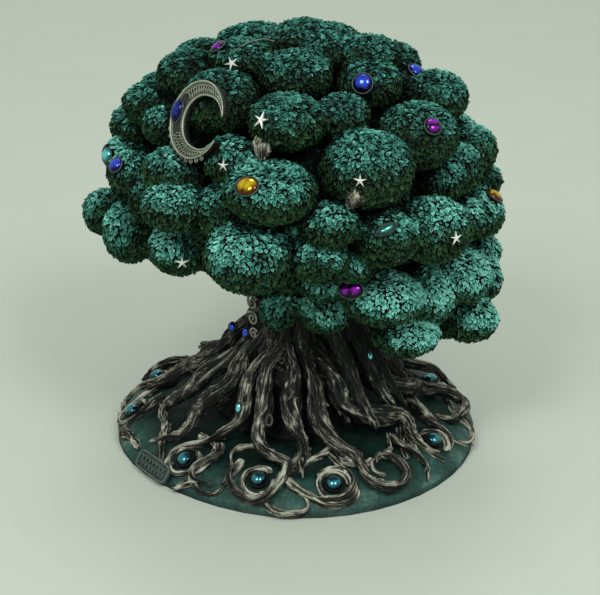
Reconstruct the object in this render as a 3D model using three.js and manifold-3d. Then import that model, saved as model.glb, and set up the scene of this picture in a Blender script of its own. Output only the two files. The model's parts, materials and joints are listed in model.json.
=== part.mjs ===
// Jewelled tree of life ornament: a carved plinth, a flared trunk standing on it, roots that run
// from the trunk over the plinth and curl round set pearls, and a rounded crown of leafy boughs
// that carries a crescent moon, stars and cabochon gems. Millimetres, +Z up, -Y is the front.
// Every piece is its own closed solid, and pieces that touch keep a small glue gap.

import * as THREE from 'three';
import { mergeVertices } from 'three/addons/utils/BufferGeometryUtils.js';
import Module from 'manifold-3d';

const wasm = await Module();
wasm.setup();

// ---------------------------------------------------------------- driving dimensions

const GAP = 0.3; // glue gap between pieces that touch

const PLINTH = { radius: 77, flat: 60, height: 12, foot: 2, bend: 1.7, pinch: 0.05, pinchAt: -40,
  pinchPower: 6 };
const PLAQUE = { bearing: -54, radius: 74, length: 22, height: 7.6, depth: 2.4, lean: 36 };

const TRUNK = { foot: PLINTH.height + GAP, top: 84, sides: 26, flutes: 9, fluteDepth: 0.035 };
const TRUNK_PROFILE = [ // [height, radius] from the foot of the flare to the hidden top
  [TRUNK.foot, 46], [16, 41], [23, 33.5], [30, 27.5], [38, 22], [47, 17.5], [60, 15], [72, 15],
  [TRUNK.top, 17],
];

const CROWN_CENTRE = new THREE.Vector3(0, 0, 110);
const CORE = { width: 57, depth: 52, height: 42 }; // dark body inside the boughs
const PUFF_SWELL = 1.06; // size of a puff against the listed one, so that neighbours overlap
const STEM = { sink: 0.05, length: 0.62, girth: 0.62, spare: 3.5 }; // leafy stem between puffs
// that overlap by less than the spare

const MOON = { centre: new THREE.Vector3(-36, -41, 153), face: -51, tilt: 24, outer: 15.8,
  inner: 11, shift: 2.7, mouth: 0.32, depth: 3 };
const STAR_DEPTH = 1.2;
const GEM_HEIGHT = 0.55; // half height of a cabochon against its half width

// ---------------------------------------------------------------- routes and places

// Foliage boughs. Each puff is an upright spheroid: [right, back, up, half width, half height].
// Right and back are measured from the trunk's axis, up from the floor.
const BOUGHS = {
  bough_top: [[0, -12, 161, 14, 9], [4, 14, 168, 13, 7], [-18, 8, 168, 13, 6],
    [-21, -8, 167, 11.5, 6.5], [13, 2, 167, 10, 6], [29, 2, 165, 12, 7], [29, -10, 157, 12, 9],
    [14, 32, 159, 14, 9], [-15, 30, 160, 14, 9], [38, 20, 156, 12, 8]],
  bough_upper_front: [[-3, -41, 152, 14, 10], [18, -33, 152, 10, 7.5], [27, -49, 136, 17, 13.5],
    [47, -28, 142, 15, 12]],
  bough_upper_left: [[-28, -24, 154, 14.5, 12], [-41, -2, 159, 12.5, 8], [-57, 2, 145, 11, 8],
    [-51, -16, 142, 8, 7], [-63, 6, 132, 6.5, 5.5], [-37, 20, 157, 12, 8]],
  bough_left: [[-46, -39, 132, 11.5, 8], [-45, -48, 121, 13, 9], [-57, -18, 113, 8, 9],
    [-65, -12, 121, 9, 8], [-67, 4, 123, 10, 7], [-66, -12, 96, 10.5, 12.5],
    [-78, 4, 98, 8, 9], [-65, 7, 109, 9, 9]],
  bough_front: [[-9, -60, 131, 16.5, 10.5], [-24, -47, 139, 10, 8.5], [-29, -54, 121, 8, 10],
    [-17, -61, 106, 16.5, 13.5], [-45, -34, 98, 11.5, 10]],
  bough_front_right: [[34, -56, 111, 11.5, 10], [53, -43, 109, 14, 12], [13, -62, 119, 10.5, 8],
    [9, -62, 105, 10.5, 9], [-1, -56, 114, 7, 8], [22, -52, 100, 9, 8], [12, -40, 87, 11, 7.5],
    [-9, -42, 89, 10, 7.5]],
  bough_right: [[55, 0, 148, 13, 10], [44, 9, 152, 8, 6.5], [57, -24, 121, 8, 8],
    [64, -14, 123, 9.5, 10], [72, 6, 124, 9, 9.5], [77, 8, 110, 7, 6.5],
    [74, -4, 100, 10, 9.5], [67, -20, 104, 8, 8], [69, 9, 92, 9, 8]],
  bough_lower_right: [[34, -42, 80, 15, 9.5], [53, -28, 75, 11, 11.5], [67, -24, 81, 11, 9.5],
    [77, 0, 82, 7, 6.5], [77, -7, 73, 7, 9], [71, -16, 59, 11, 8.5], [60, -10, 57, 9, 8],
    [44, -32, 60, 13, 8], [12, -30, 68, 9.5, 7], [1, -25, 74, 9, 7], [-7, -26, 67, 6.8, 7.2]],
  bough_back_left: [[-12, 46, 150, 12, 9], [-36, 36, 144, 16, 11], [-53, 20, 144, 10, 8],
    [-18, 57, 132, 12, 9], [-44, 45, 124, 13, 11], [-63, 23, 129, 12, 9],
    [-29, 58, 112, 16, 12], [-57, 37, 105, 14, 11], [-15, 60, 93, 11, 9],
    [-38, 48, 88, 16, 12], [-62, 27, 87, 12, 9]],
  bough_back_right: [[13, 46, 144, 16, 12], [37, 36, 147, 12, 9], [56, 21, 142, 10, 9],
    [11, 59, 126, 11, 9], [39, 47, 130, 16, 12], [63, 24, 124, 12, 9],
    [2, 63, 107, 14, 12], [28, 59, 112, 12, 9], [54, 40, 106, 16, 13],
    [16, 58, 89, 15, 11], [42, 46, 84, 12, 9], [64, 26, 86, 12, 11]],
  bough_back_low: [[-3, 48, 75, 12, 8], [22, 42, 70, 15, 9], [-27, 41, 71, 14, 9],
    [48, 24, 70, 13, 8], [-48, 25, 74, 13, 9], [61, 9, 68, 10, 8], [-52, 6, 84, 12, 8]],
};

// Roots, thick end first. Each point of a route is [bearing, distance from the axis, height];
// girth is the thickest radius. A route that dips too low or too near is lifted onto the
// surface that it lies on.
const ROOTS = {
  root_left_rear: { girth: 4.6, route: [[-90, 22, 47], [-93, 34, 34], [-98, 48, 24],
    [-100, 59, 18], [-101, 68, 13], [-97, 73, 9]] },
  root_left: { girth: 4.2, route: [[-69, 22, 46], [-72, 33, 34], [-77, 45, 25], [-78, 53, 19],
    [-71, 58, 16], [-63, 60, 15]] },
  root_left_hook: { girth: 2.2, route: [[-90, 56, 16], [-85, 61, 15], [-81, 68, 12],
    [-76, 72, 9], [-71, 69, 11]] },
  root_front_left: { girth: 4.0, route: [[-50, 22, 45], [-53, 32, 34], [-59, 44, 22],
    [-57, 51, 17], [-56, 59, 15], [-60, 66, 12], [-65, 71, 9]] },
  root_plaque: { girth: 3.2, route: [[-37, 25, 40], [-37, 35, 28], [-35, 42, 21], [-38, 48, 17],
    [-43, 54, 15], [-48, 58, 14]] },
  root_plaque_hook: { girth: 2.3, route: [[-36, 52, 15], [-33, 58, 14], [-36, 64, 12],
    [-35, 70, 9], [-29, 71, 8], [-25, 67, 11]] },
  root_front_ring: { girth: 3.4, route: [[-22, 23, 44], [-24, 32, 32], [-20, 42, 22],
    [-14, 50, 17], [-7, 54, 15], [-4, 60, 13], [-4, 67, 10], [-8, 72, 7], [-14, 74, 6],
    [-20, 72, 7], [-23, 66, 10], [-23, 60, 13], [-19, 56, 14]] },
  root_front: { girth: 3.6, route: [[-5, 22, 45], [-4, 32, 32], [0, 40, 24], [2, 47, 19],
    [3, 55, 15], [3, 62, 13], [2, 69, 9]] },
  root_front_curl: { girth: 1.9, route: [[5, 71, 9], [8, 73, 7], [13, 74, 6], [17, 72, 8],
    [19, 68, 10], [17, 63, 13], [12, 61, 13], [8, 64, 12]] },
  root_front_scroll: { girth: 3.6, route: [[12, 23, 43], [15, 36, 27], [19, 46, 19],
    [24, 55, 15], [25, 63, 13], [26, 70, 9], [30, 74, 6], [35, 74, 6], [39, 69, 9],
    [39, 63, 13], [35, 59, 14], [31, 62, 13], [31, 67, 10]] },
  root_front_right: { girth: 5.2, route: [[30, 23, 43], [34, 35, 30], [44, 42, 24],
    [56, 46, 20], [61, 52, 17], [58, 57, 15], [53, 63, 13], [52, 71, 9]] },
  root_front_right_tail: { girth: 2.2, route: [[48, 53, 15], [46, 60, 14], [46, 66, 12],
    [47, 71, 9], [43, 75, 5]] },
  root_pearl_guard: { girth: 1.9, route: [[71, 55, 15], [70, 61, 14], [68, 67, 12],
    [64, 71, 9], [58, 72, 8]] },
  root_right: { girth: 4.8, route: [[50, 23, 45], [62, 33, 34], [77, 41, 26], [90, 49, 20],
    [97, 57, 16], [95, 66, 12], [88, 71, 9], [79, 69, 11], [74, 63, 14], [78, 57, 15]] },
  root_right_rear: { girth: 4.4, route: [[73, 22, 47], [94, 33, 36], [113, 44, 26],
    [122, 54, 19], [114, 63, 16], [106, 70, 12], [100, 73, 10]] },
  root_back_right: { girth: 4.2, route: [[122, 22, 45], [133, 34, 31], [142, 46, 21],
    [143, 57, 16], [136, 67, 12], [128, 73, 8]] },
  root_back: { girth: 4.4, route: [[156, 22, 46], [161, 34, 32], [162, 46, 21], [168, 56, 16],
    [170, 65, 13], [163, 72, 9]] },
  root_back_mid: { girth: 3.8, route: [[-172, 22, 44], [-176, 34, 31], [-174, 46, 21],
    [-175, 57, 16], [-179, 66, 12], [-176, 73, 8]] },
  root_back_ring: { girth: 4.2, route: [[-145, 22, 46], [-146, 34, 32], [-142, 46, 22],
    [-139, 56, 17], [-141, 65, 13], [-149, 71, 10], [-158, 71, 10], [-163, 65, 13]] },
  root_back_left: { girth: 4.4, route: [[-116, 22, 46], [-118, 34, 32], [-123, 46, 22],
    [-125, 55, 17], [-123, 65, 13], [-117, 72, 10], [-109, 73, 9]] },
};

// Pearls set in the plinth: [bearing, distance from the axis].
const PEARL = { radius: 3.4, height: 2.8, lift: 0.9 };
const PEARLS = {
  pearl_left_rear: [-111, 64], pearl_left: [-89, 69], pearl_plaque: [-44, 64],
  pearl_front_ring: [-13, 65], pearl_front_curl: [13, 67.5], pearl_right: [60.5, 65],
  pearl_right_rear: [106, 60], pearl_back_ring: [-152, 62],
};

// Gems on the crown: bough, puff number, bearing and rise of the seat on that puff, half width,
// half length and turn of the long side from level.
const GEMS = {
  gem_blue_top: ['bough_top', 6, -15, 23, 3.8, 3.8, 0],
  gem_blue_back: ['bough_right', 1, 50, 52, 3.2, 3.2, 0],
  gem_purple_upper: ['bough_upper_front', 3, 23, 37, 3.2, 3.2, 0],
  gem_purple_top_left: ['bough_top', 3, -80, 44, 3.1, 3.1, 0],
  gem_blue_left: ['bough_left', 3, -44, 37, 3, 3, 0],
  gem_teal_left: ['bough_left', 4, -52, 14, 2.8, 2.8, 0],
  gem_amber_front: ['bough_front', 0, -37, 36, 3.4, 4.2, 0],
  gem_amber_right: ['bough_right', 6, 84, 55, 3.3, 3.3, 0],
  gem_purple_low: ['bough_lower_right', 0, -50, 30, 3, 4.2, 0],
  gem_teal_leaf: ['bough_front_right', 0, 0, 42, 2.2, 4.4, 30],
};

// Stars on the crown: bough, puff number, bearing, rise, radius to a point.
const STARS = {
  star_upper: ['bough_upper_front', 0, -43, 22, 3.9],
  star_centre: ['bough_upper_front', 2, -10, 8, 2.9],
  star_moon: ['bough_front', 1, -14, 10, 2.6],
  star_left: ['bough_front', 4, 7, -6, 3.2],
  star_right: ['bough_front_right', 1, 31, 8, 2.9],
};

// ---------------------------------------------------------------- materials

const paint = (color, roughness, metalness = 0) =>
  new THREE.MeshStandardMaterial({ color, roughness, metalness });

const FINISH = {
  plinth: () => paint(0x24403b, 0.6),
  plaque: () => paint(0x3c534b, 0.55),
  bark: () => paint(0x35302a, 0.75),
  leaves: () => paint(0x1c4d3c, 0.6),
  core: () => paint(0x0d1f19, 0.8),
  pewter: () => paint(0x8d9a86, 0.4, 0.6),
  silver: () => paint(0xdfe3da, 0.35, 0.5),
  pearl: () => paint(0x1d5c74, 0.15),
  blue: () => paint(0x1f2fb0, 0.08),
  purple: () => paint(0x5a2cb0, 0.08),
  amber: () => paint(0xc07a28, 0.08),
  teal: () => paint(0x1f8f93, 0.08),
};

// ---------------------------------------------------------------- places

const rad = THREE.MathUtils.degToRad;

// A point by bearing from the front, distance from the axis and height.
const polar = (bearing, distance, z) =>
  new THREE.Vector3(distance * Math.sin(rad(bearing)), -distance * Math.cos(rad(bearing)), z);

const bearingOf = (p) => THREE.MathUtils.radToDeg(Math.atan2(p.x, -p.y));

// Value of a table of [x, y] pairs between its points, and the slope there.
function tableAt(table, x) {
  const last = table.length - 1;
  let i = 0;
  while (i < last - 1 && x > table[i + 1][0]) i += 1;
  const [x0, y0] = table[i];
  const [x1, y1] = table[i + 1];
  const slope = (y1 - y0) / (x1 - x0);
  const t = THREE.MathUtils.clamp(x, table[0][0], table[last][0]);
  return { value: y0 + slope * (t - x0), slope };
}

// The plinth is a round dome edge, pinched a little on the plaque's side.
const pinchAt = (bearing) =>
  1 - PLINTH.pinch * Math.max(0, Math.cos(rad(bearing - PLINTH.pinchAt))) ** PLINTH.pinchPower;

const domeHeight = (r) => (r <= PLINTH.flat ? PLINTH.height
  : PLINTH.height - (PLINTH.height - PLINTH.foot)
    * ((r - PLINTH.flat) / (PLINTH.radius - PLINTH.flat)) ** PLINTH.bend);

function plinthTop(p) {
  const r = Math.min(Math.hypot(p.x, p.y) / pinchAt(bearingOf(p)), PLINTH.radius);
  const step = 0.5;
  return { value: domeHeight(r), slope: (domeHeight(r) - domeHeight(r - step)) / step };
}

// Moves a root's centre so that a root of this radius clears the trunk and the plinth.
function settle(point, radius) {
  const p = point.clone();
  const clear = radius + GAP + 0.15;
  if (p.z < TRUNK.top) {
    const wall = tableAt(TRUNK_PROFILE, p.z);
    const need = wall.value * (1 + TRUNK.fluteDepth) + clear * Math.hypot(1, wall.slope);
    const distance = Math.hypot(p.x, p.y);
    if (distance < need) p.set(p.x * need / distance, p.y * need / distance, p.z);
  }
  const top = plinthTop(p);
  p.z = Math.max(p.z, top.value + clear * Math.hypot(1, top.slope));
  return p;
}

// Axes that look outwards: x to the right, y up, z out.
function outwardFrame(origin, out) {
  const z = out.clone().normalize();
  const pole = Math.abs(z.z) > 0.999 ? new THREE.Vector3(0, 1, 0) : new THREE.Vector3(0, 0, 1);
  const x = pole.clone().cross(z).normalize();
  return new THREE.Matrix4().makeBasis(x, z.clone().cross(x), z).setPosition(origin);
}

const puffCentre = ([right, back, up]) => new THREE.Vector3(right, back, up);

const puffAxes = ([, , , width, height]) =>
  new THREE.Vector3(width, width, height).multiplyScalar(PUFF_SWELL);

// The frame on a puff's surface in a direction given by bearing and rise.
function onPuff(bough, number, bearing, rise) {
  const puff = BOUGHS[bough][number];
  const axes = puffAxes(puff);
  const out = polar(bearing, Math.cos(rad(rise)), Math.sin(rad(rise)));
  const spot = out.clone().multiply(axes).add(puffCentre(puff));
  return outwardFrame(spot, out.divide(axes));
}

// ---------------------------------------------------------------- solids

function solidOf(geometry) {
  const bare = geometry.clone();
  bare.deleteAttribute('normal');
  bare.deleteAttribute('uv');
  const merged = mergeVertices(bare, 1e-4);
  return new wasm.Manifold(new wasm.Mesh({
    numProp: 3,
    vertProperties: new Float32Array(merged.attributes.position.array),
    triVerts: new Uint32Array(merged.index.array),
  }));
}

function geometryOf(solid) {
  const { vertProperties, triVerts } = solid.getMesh();
  const geometry = new THREE.BufferGeometry();
  geometry.setAttribute('position', new THREE.BufferAttribute(vertProperties, 3));
  geometry.setIndex(new THREE.BufferAttribute(triVerts, 1));
  geometry.computeVertexNormals();
  return geometry;
}

// The largest body of a solid, without crumbs that a cut left behind.
const mainBody = (solid) =>
  solid.decompose().reduce((best, body) => (body.volume() > best.volume() ? body : best));

const joinAll = (solids) => solids.reduce((sum, solid) => sum.add(solid));
const cutAll = (solid, tools) => tools.reduce((rest, tool) => rest.subtract(tool), solid);

// An ellipsoid in a frame. Grow makes it that much larger all round.
function ellipsoid(axes, frame, detail, grow = 0) {
  const geometry = new THREE.IcosahedronGeometry(1, detail);
  geometry.scale(axes.x + grow, axes.y + grow, axes.z + grow);
  return solidOf(geometry.applyMatrix4(frame));
}

// ---------------------------------------------------------------- the pieces

function makePlinth(sockets) {
  const steps = 4;
  const profile = [new THREE.Vector2(0, 0), new THREE.Vector2(PLINTH.radius - 1, 0)];
  for (let i = 0; i <= steps; i += 1) {
    const r = THREE.MathUtils.lerp(PLINTH.radius, PLINTH.flat, i / steps);
    profile.push(new THREE.Vector2(r, domeHeight(r)));
  }
  profile.push(new THREE.Vector2(0, PLINTH.height));
  const geometry = new THREE.LatheGeometry(profile, 44).rotateX(Math.PI / 2);
  const position = geometry.attributes.position;
  for (let i = 0; i < position.count; i += 1) {
    const p = new THREE.Vector3().fromBufferAttribute(position, i);
    const pinch = pinchAt(bearingOf(p));
    position.setXYZ(i, p.x * pinch, p.y * pinch, p.z);
  }
  return cutAll(solidOf(geometry), sockets);
}

function makePlaque(grow = 0) {
  const half = PLAQUE.length / 2 + grow;
  const rise = PLAQUE.height / 2 + grow;
  const corner = 2;
  const outline = new THREE.Shape();
  outline.absarc(half - corner, rise - corner, corner, 0, Math.PI / 2);
  outline.absarc(corner - half, rise - corner, corner, Math.PI / 2, Math.PI);
  outline.absarc(corner - half, corner - rise, corner, Math.PI, 1.5 * Math.PI);
  outline.absarc(half - corner, corner - rise, corner, 1.5 * Math.PI, 2 * Math.PI);
  const depth = PLAQUE.depth + 2 * grow;
  const geometry = new THREE.ExtrudeGeometry(outline,
    { depth, bevelEnabled: false, curveSegments: 3 });
  geometry.translate(0, 0, -depth / 2);
  const spot = polar(PLAQUE.bearing, PLAQUE.radius * pinchAt(PLAQUE.bearing), 0);
  spot.z = plinthTop(spot).value;
  const out = polar(PLAQUE.bearing, Math.cos(rad(PLAQUE.lean)), Math.sin(rad(PLAQUE.lean)));
  return solidOf(geometry.applyMatrix4(outwardFrame(spot, out)));
}

function makeTrunk(grow = 0) {
  const profile = TRUNK_PROFILE.map(([z, r]) => new THREE.Vector2(r + grow, z));
  const top = TRUNK.top + grow;
  profile[profile.length - 1].y = top;
  const outline = [new THREE.Vector2(0, TRUNK.foot), ...profile, new THREE.Vector2(0, top)];
  const geometry = new THREE.LatheGeometry(outline, TRUNK.sides).rotateX(Math.PI / 2);
  const position = geometry.attributes.position;
  for (let i = 0; i < position.count; i += 1) {
    const p = new THREE.Vector3().fromBufferAttribute(position, i);
    const flute = 1 + TRUNK.fluteDepth * Math.cos(rad(bearingOf(p)) * TRUNK.flutes + p.z / 14);
    position.setXYZ(i, p.x * flute, p.y * flute, p.z);
  }
  return solidOf(geometry);
}

// A root is a ball drawn out along its route: a blunt point at the trunk, its full girth at a
// fifth of the way, then a long taper to the tip.
function makeRoot({ girth, route }) {
  const curve = new THREE.CatmullRomCurve3(route.map((spot) => polar(...spot)));
  const sides = 6;
  const rings = Math.round(curve.getLength() / 5) + 3;
  const frames = curve.computeFrenetFrames(rings, false);
  const geometry = new THREE.SphereGeometry(1, sides, rings);
  const position = geometry.attributes.position;
  for (let i = 0; i < position.count; i += 1) {
    const v = new THREE.Vector3().fromBufferAttribute(position, i);
    const ring = Math.round(Math.acos(THREE.MathUtils.clamp(v.y, -1, 1)) / Math.PI * rings);
    const t = ring / rings;
    const swell = Math.min(1, 0.5 + 2.5 * t) * (1 - 0.55 * t);
    const radius = ring === 0 || ring === rings ? 0 : girth * swell;
    const around = Math.atan2(v.z, v.x);
    const centre = settle(curve.getPointAt(t), girth * swell);
    centre.addScaledVector(frames.normals[ring], radius * Math.cos(around));
    centre.addScaledVector(frames.binormals[ring], radius * Math.sin(around));
    position.setXYZ(i, centre.x, centre.y, centre.z);
  }
  return solidOf(geometry);
}

function makePearl([bearing, distance], grow = 0) {
  const spot = polar(bearing, distance, 0);
  const top = plinthTop(spot);
  spot.z = top.value + PEARL.lift;
  const out = polar(bearing, -top.slope, 1);
  const axes = new THREE.Vector3(PEARL.radius, PEARL.radius, PEARL.height);
  return ellipsoid(axes, outwardFrame(spot, out), 1, grow);
}

const makeGem = ([bough, number, bearing, rise, width, length, turn], grow = 0) => {
  const frame = onPuff(bough, number, bearing, rise)
    .multiply(new THREE.Matrix4().makeRotationZ(rad(turn)));
  const axes = new THREE.Vector3(length, width, width * GEM_HEIGHT);
  return ellipsoid(axes, frame, 1, grow);
};

function makeStar([bough, number, bearing, rise, radius], grow = 0) {
  const points = 5;
  const outline = [];
  for (let i = 0; i < 2 * points; i += 1) {
    const r = (i % 2 ? 0.45 : 1) * radius + 1.5 * grow;
    const angle = Math.PI / 2 + i * Math.PI / points;
    outline.push(new THREE.Vector2(r * Math.cos(angle), r * Math.sin(angle)));
  }
  const depth = STAR_DEPTH + 2 * grow;
  const geometry = new THREE.ExtrudeGeometry(new THREE.Shape(outline),
    { depth, bevelEnabled: false });
  geometry.translate(0, 0, -grow);
  return solidOf(geometry.applyMatrix4(onPuff(bough, number, bearing, rise)));
}

const moonFrame = outwardFrame(MOON.centre,
  polar(MOON.face, Math.cos(rad(MOON.tilt)), Math.sin(rad(MOON.tilt))));

// The crescent opens to the right: two arcs about shifted centres, joined at the horns.
function makeMoon(grow = 0) {
  const outer = MOON.outer + grow;
  const inner = MOON.inner - grow;
  const outerMouth = MOON.mouth - 4 * grow / outer;
  const innerMouth = outerMouth * outer / inner;
  const outline = new THREE.Shape();
  outline.absarc(0, 0, outer, outerMouth, 2 * Math.PI - outerMouth);
  outline.absarc(MOON.shift, 0, inner, 2 * Math.PI - innerMouth, innerMouth, true);
  const depth = MOON.depth + 2 * grow;
  const geometry = new THREE.ExtrudeGeometry(outline,
    { depth, bevelEnabled: false, curveSegments: 22 });
  geometry.translate(0, 0, -depth / 2);
  return solidOf(geometry.applyMatrix4(moonFrame));
}

function makeMoonGem(grow = 0) {
  const width = 2.7;
  const length = 4;
  const across = MOON.shift / 2 - (MOON.outer + MOON.inner) / 2;
  const frame = moonFrame.clone()
    .multiply(new THREE.Matrix4().makeTranslation(across, 0, MOON.depth / 2));
  return ellipsoid(new THREE.Vector3(width, length, width * GEM_HEIGHT), frame, 1, grow);
}

// A puff's half size in a direction.
const halfAlong = ([, , , width, height], way) =>
  PUFF_SWELL / Math.hypot(way.x / width, way.y / width, way.z / height);

// The stem that joins a puff to the nearest puff before it, a little nearer the crown's centre.
// Two puffs that already overlap well need none.
function makeStem(puff, earlier, grow) {
  const distanceTo = (other) => puffCentre(other).distanceTo(puffCentre(puff));
  const other = earlier.reduce((best, next) => (distanceTo(next) < distanceTo(best) ? next : best));
  const way = puffCentre(other).sub(puffCentre(puff)).normalize();
  const overlap = halfAlong(puff, way) + halfAlong(other, way) - distanceTo(other);
  if (overlap > STEM.spare) return [];
  const from = puffCentre(puff).lerp(CROWN_CENTRE, STEM.sink);
  const to = puffCentre(other).lerp(CROWN_CENTRE, STEM.sink);
  const along = to.clone().sub(from);
  const girth = Math.min(puff[3], puff[4]) * STEM.girth;
  const axes = new THREE.Vector3(girth, girth, along.length() * STEM.length);
  return [ellipsoid(axes, outwardFrame(from.lerp(to, 0.5), along), 0, grow)];
}

function makeBough(puffs, grow = 0) {
  const lobes = puffs.map((puff) => ellipsoid(puffAxes(puff),
    new THREE.Matrix4().setPosition(puffCentre(puff)), 1, grow));
  const stems = puffs.slice(1).flatMap((puff, i) => makeStem(puff, puffs.slice(0, i + 1), grow));
  return joinAll([...lobes, ...stems]);
}

// ---------------------------------------------------------------- assembly

const tree = new THREE.Group();

function add(name, solid, material) {
  const mesh = new THREE.Mesh(geometryOf(mainBody(solid)), material);
  mesh.name = name;
  tree.add(mesh);
}

const entries = Object.entries;
const colourOf = (name) => ['blue', 'purple', 'amber', 'teal'].find((c) => name.includes(c));

add('plinth', makePlinth([makePlaque(GAP),
  ...Object.values(PEARLS).map((spot) => makePearl(spot, GAP))]), FINISH.plinth());
add('rim_plaque', makePlaque(), FINISH.plaque());
entries(PEARLS).forEach(([name, spot]) => add(name, makePearl(spot), FINISH.pearl()));
add('trunk', makeTrunk(), FINISH.bark());
entries(ROOTS).forEach(([name, root]) => add(name, makeRoot(root), FINISH.bark()));

const coreFrame = new THREE.Matrix4().setPosition(CROWN_CENTRE);
const coreAxes = new THREE.Vector3(CORE.width, CORE.depth, CORE.height);
add('crown_core', ellipsoid(coreAxes, coreFrame, 3).subtract(makeTrunk(GAP)), FINISH.core());

add('moon_gem', makeMoonGem(), FINISH.blue());
add('crescent_moon', makeMoon().subtract(makeMoonGem(GAP)), FINISH.pewter());
entries(GEMS).forEach(([name, gem]) => add(name, makeGem(gem), FINISH[colourOf(name)]()));
entries(STARS).forEach(([name, star]) => add(name, makeStar(star), FINISH.silver()));

// Each bough keeps clear of the core, the trim and the boughs that were laid before it.
const taken = [
  ellipsoid(coreAxes, coreFrame, 3, GAP), makeTrunk(GAP), makeMoon(GAP), makeMoonGem(GAP),
  ...Object.values(GEMS).map((gem) => makeGem(gem, GAP)),
  ...Object.values(STARS).map((star) => makeStar(star, GAP)),
];
entries(BOUGHS).forEach(([name, puffs]) => {
  add(name, cutAll(makeBough(puffs), taken), FINISH.leaves());
  taken.push(makeBough(puffs, GAP));
});

export default tree;
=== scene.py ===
"""Jewelled tree of life ornament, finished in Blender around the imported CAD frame."""
import json
import math

import bpy
import numpy as np
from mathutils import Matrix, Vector, noise
from mathutils.bvhtree import BVHTree

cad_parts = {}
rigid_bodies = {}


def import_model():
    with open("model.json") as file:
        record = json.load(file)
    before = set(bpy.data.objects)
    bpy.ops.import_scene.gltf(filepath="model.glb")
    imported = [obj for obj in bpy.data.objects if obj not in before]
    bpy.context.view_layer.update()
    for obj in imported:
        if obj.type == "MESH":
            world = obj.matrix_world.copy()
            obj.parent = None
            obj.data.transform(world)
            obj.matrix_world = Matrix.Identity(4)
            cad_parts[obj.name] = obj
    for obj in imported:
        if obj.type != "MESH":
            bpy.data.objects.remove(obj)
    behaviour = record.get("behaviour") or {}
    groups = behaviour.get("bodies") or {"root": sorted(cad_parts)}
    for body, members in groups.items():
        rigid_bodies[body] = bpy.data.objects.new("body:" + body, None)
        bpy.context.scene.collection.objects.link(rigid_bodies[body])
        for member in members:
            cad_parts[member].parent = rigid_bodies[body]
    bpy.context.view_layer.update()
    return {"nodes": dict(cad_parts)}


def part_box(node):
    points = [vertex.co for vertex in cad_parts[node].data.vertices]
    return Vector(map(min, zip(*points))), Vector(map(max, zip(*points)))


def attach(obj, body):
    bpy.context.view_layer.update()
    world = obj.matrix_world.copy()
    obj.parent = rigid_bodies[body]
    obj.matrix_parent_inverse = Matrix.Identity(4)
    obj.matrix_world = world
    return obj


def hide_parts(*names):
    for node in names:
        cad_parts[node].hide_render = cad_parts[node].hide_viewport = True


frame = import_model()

MM = 0.001
UP = np.array([0.0, 0.0, 1.0])
rng = np.random.default_rng(11)

NODES = sorted(frame["nodes"])
ROOTS, BOUGHS, PEARLS, GEMS, STARS = (
    [n for n in NODES if n.startswith(kind)]
    for kind in ("root_", "bough_", "pearl_", "gem_", "star_"))
GEMS.append("moon_gem")
CROWN_CENTRE = np.array([0, 0, 110.0])
LARGER_STONES = [n for n in GEMS if "amber" in n] + ["gem_purple_low", "moon_gem"]
LIFTED_PEARLS = ["pearl_left_rear", "pearl_right_rear"]
LARGER, PEARL_LIFT = 1.12, (0, -1.5, 2.6)

# ---- vectors and curves


def unit(vectors, guard=0.0):
    """Vectors, or one vector, at length 1. The guard keeps one without length from failing."""
    return vectors / (np.linalg.norm(vectors, axis=-1, keepdims=True) + guard)


def faced_out(vector, place, home=CROWN_CENTRE):
    """A vector, turned about if it points from the place towards home."""
    return vector * np.sign(vector @ (place - home))


def ease(x, start, width):
    """Goes from 0 at the start to 1 a width further on. The width can be negative."""
    return np.clip((x - start) / width, 0, 1)


def circle(count):
    """Even angles once round."""
    return np.linspace(0, 2 * math.pi, count, endpoint=False)


def around(angle):
    """Cosine and sine of each angle."""
    return np.stack([np.cos(angle), np.sin(angle)], -1)


def oval(centre, a, b, count):
    """Points round an ellipse with half axes a and b."""
    return centre + around(circle(count)) @ np.array([a, b])


def polar(bearing, distance, z):
    """A point at a bearing in degrees from the front, counted towards the right."""
    turn = math.radians(bearing)
    return np.array([distance * math.sin(turn), -distance * math.cos(turn), z])


def bearing_of(point):
    return math.degrees(math.atan2(point[0], -point[1]))


def sideways(direction):
    """A unit vector square to a direction."""
    level = abs(direction[2]) < 0.9
    return unit(np.cross(direction, UP if level else np.array([1.0, 0, 0])))


def upright(out):
    """Sideways and upward unit vectors of a surface that faces out."""
    side = unit(np.cross(UP, out))
    return side, np.cross(out, side)


def field(points, scale, seed):
    """Smooth noise from -1 to 1 at points in mm, with features of about scale mm."""
    offset = Vector((seed * 17.3, seed * 5.1, -seed * 9.7))
    return np.array([noise.noise(Vector(p) / scale + offset) for p in points])


def lengths(points):
    """Distance along a line of points up to each of them."""
    return np.concatenate([[0], np.cumsum(np.linalg.norm(np.diff(points, axis=0), axis=1))])


def resample(points, values, step):
    """A smooth curve through points, with its values, at even steps."""
    rows = np.column_stack([np.asarray(points, float), np.asarray(values, float)])
    rows = np.vstack([2 * rows[0] - rows[1], rows, 2 * rows[-1] - rows[-2]])
    fine = []
    for i in range(1, len(rows) - 2):
        a, b, c, d = rows[i - 1:i + 3]
        t = np.linspace(0, 1, 12, endpoint=False)[:, None]
        fine.append(0.5 * (2 * b + (c - a) * t + (2 * a - 5 * b + 4 * c - d) * t ** 2
                           + (3 * b - a - 3 * c + d) * t ** 3))
    fine = np.vstack([*fine, rows[-2:-1]])
    length = lengths(fine[:, :3])
    at = np.linspace(0, length[-1], max(4, int(length[-1] / step) + 1))
    out = np.column_stack([np.interp(at, length, column) for column in fine.T])
    return out[:, :3], np.maximum(out[:, 3], 0), at


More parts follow.
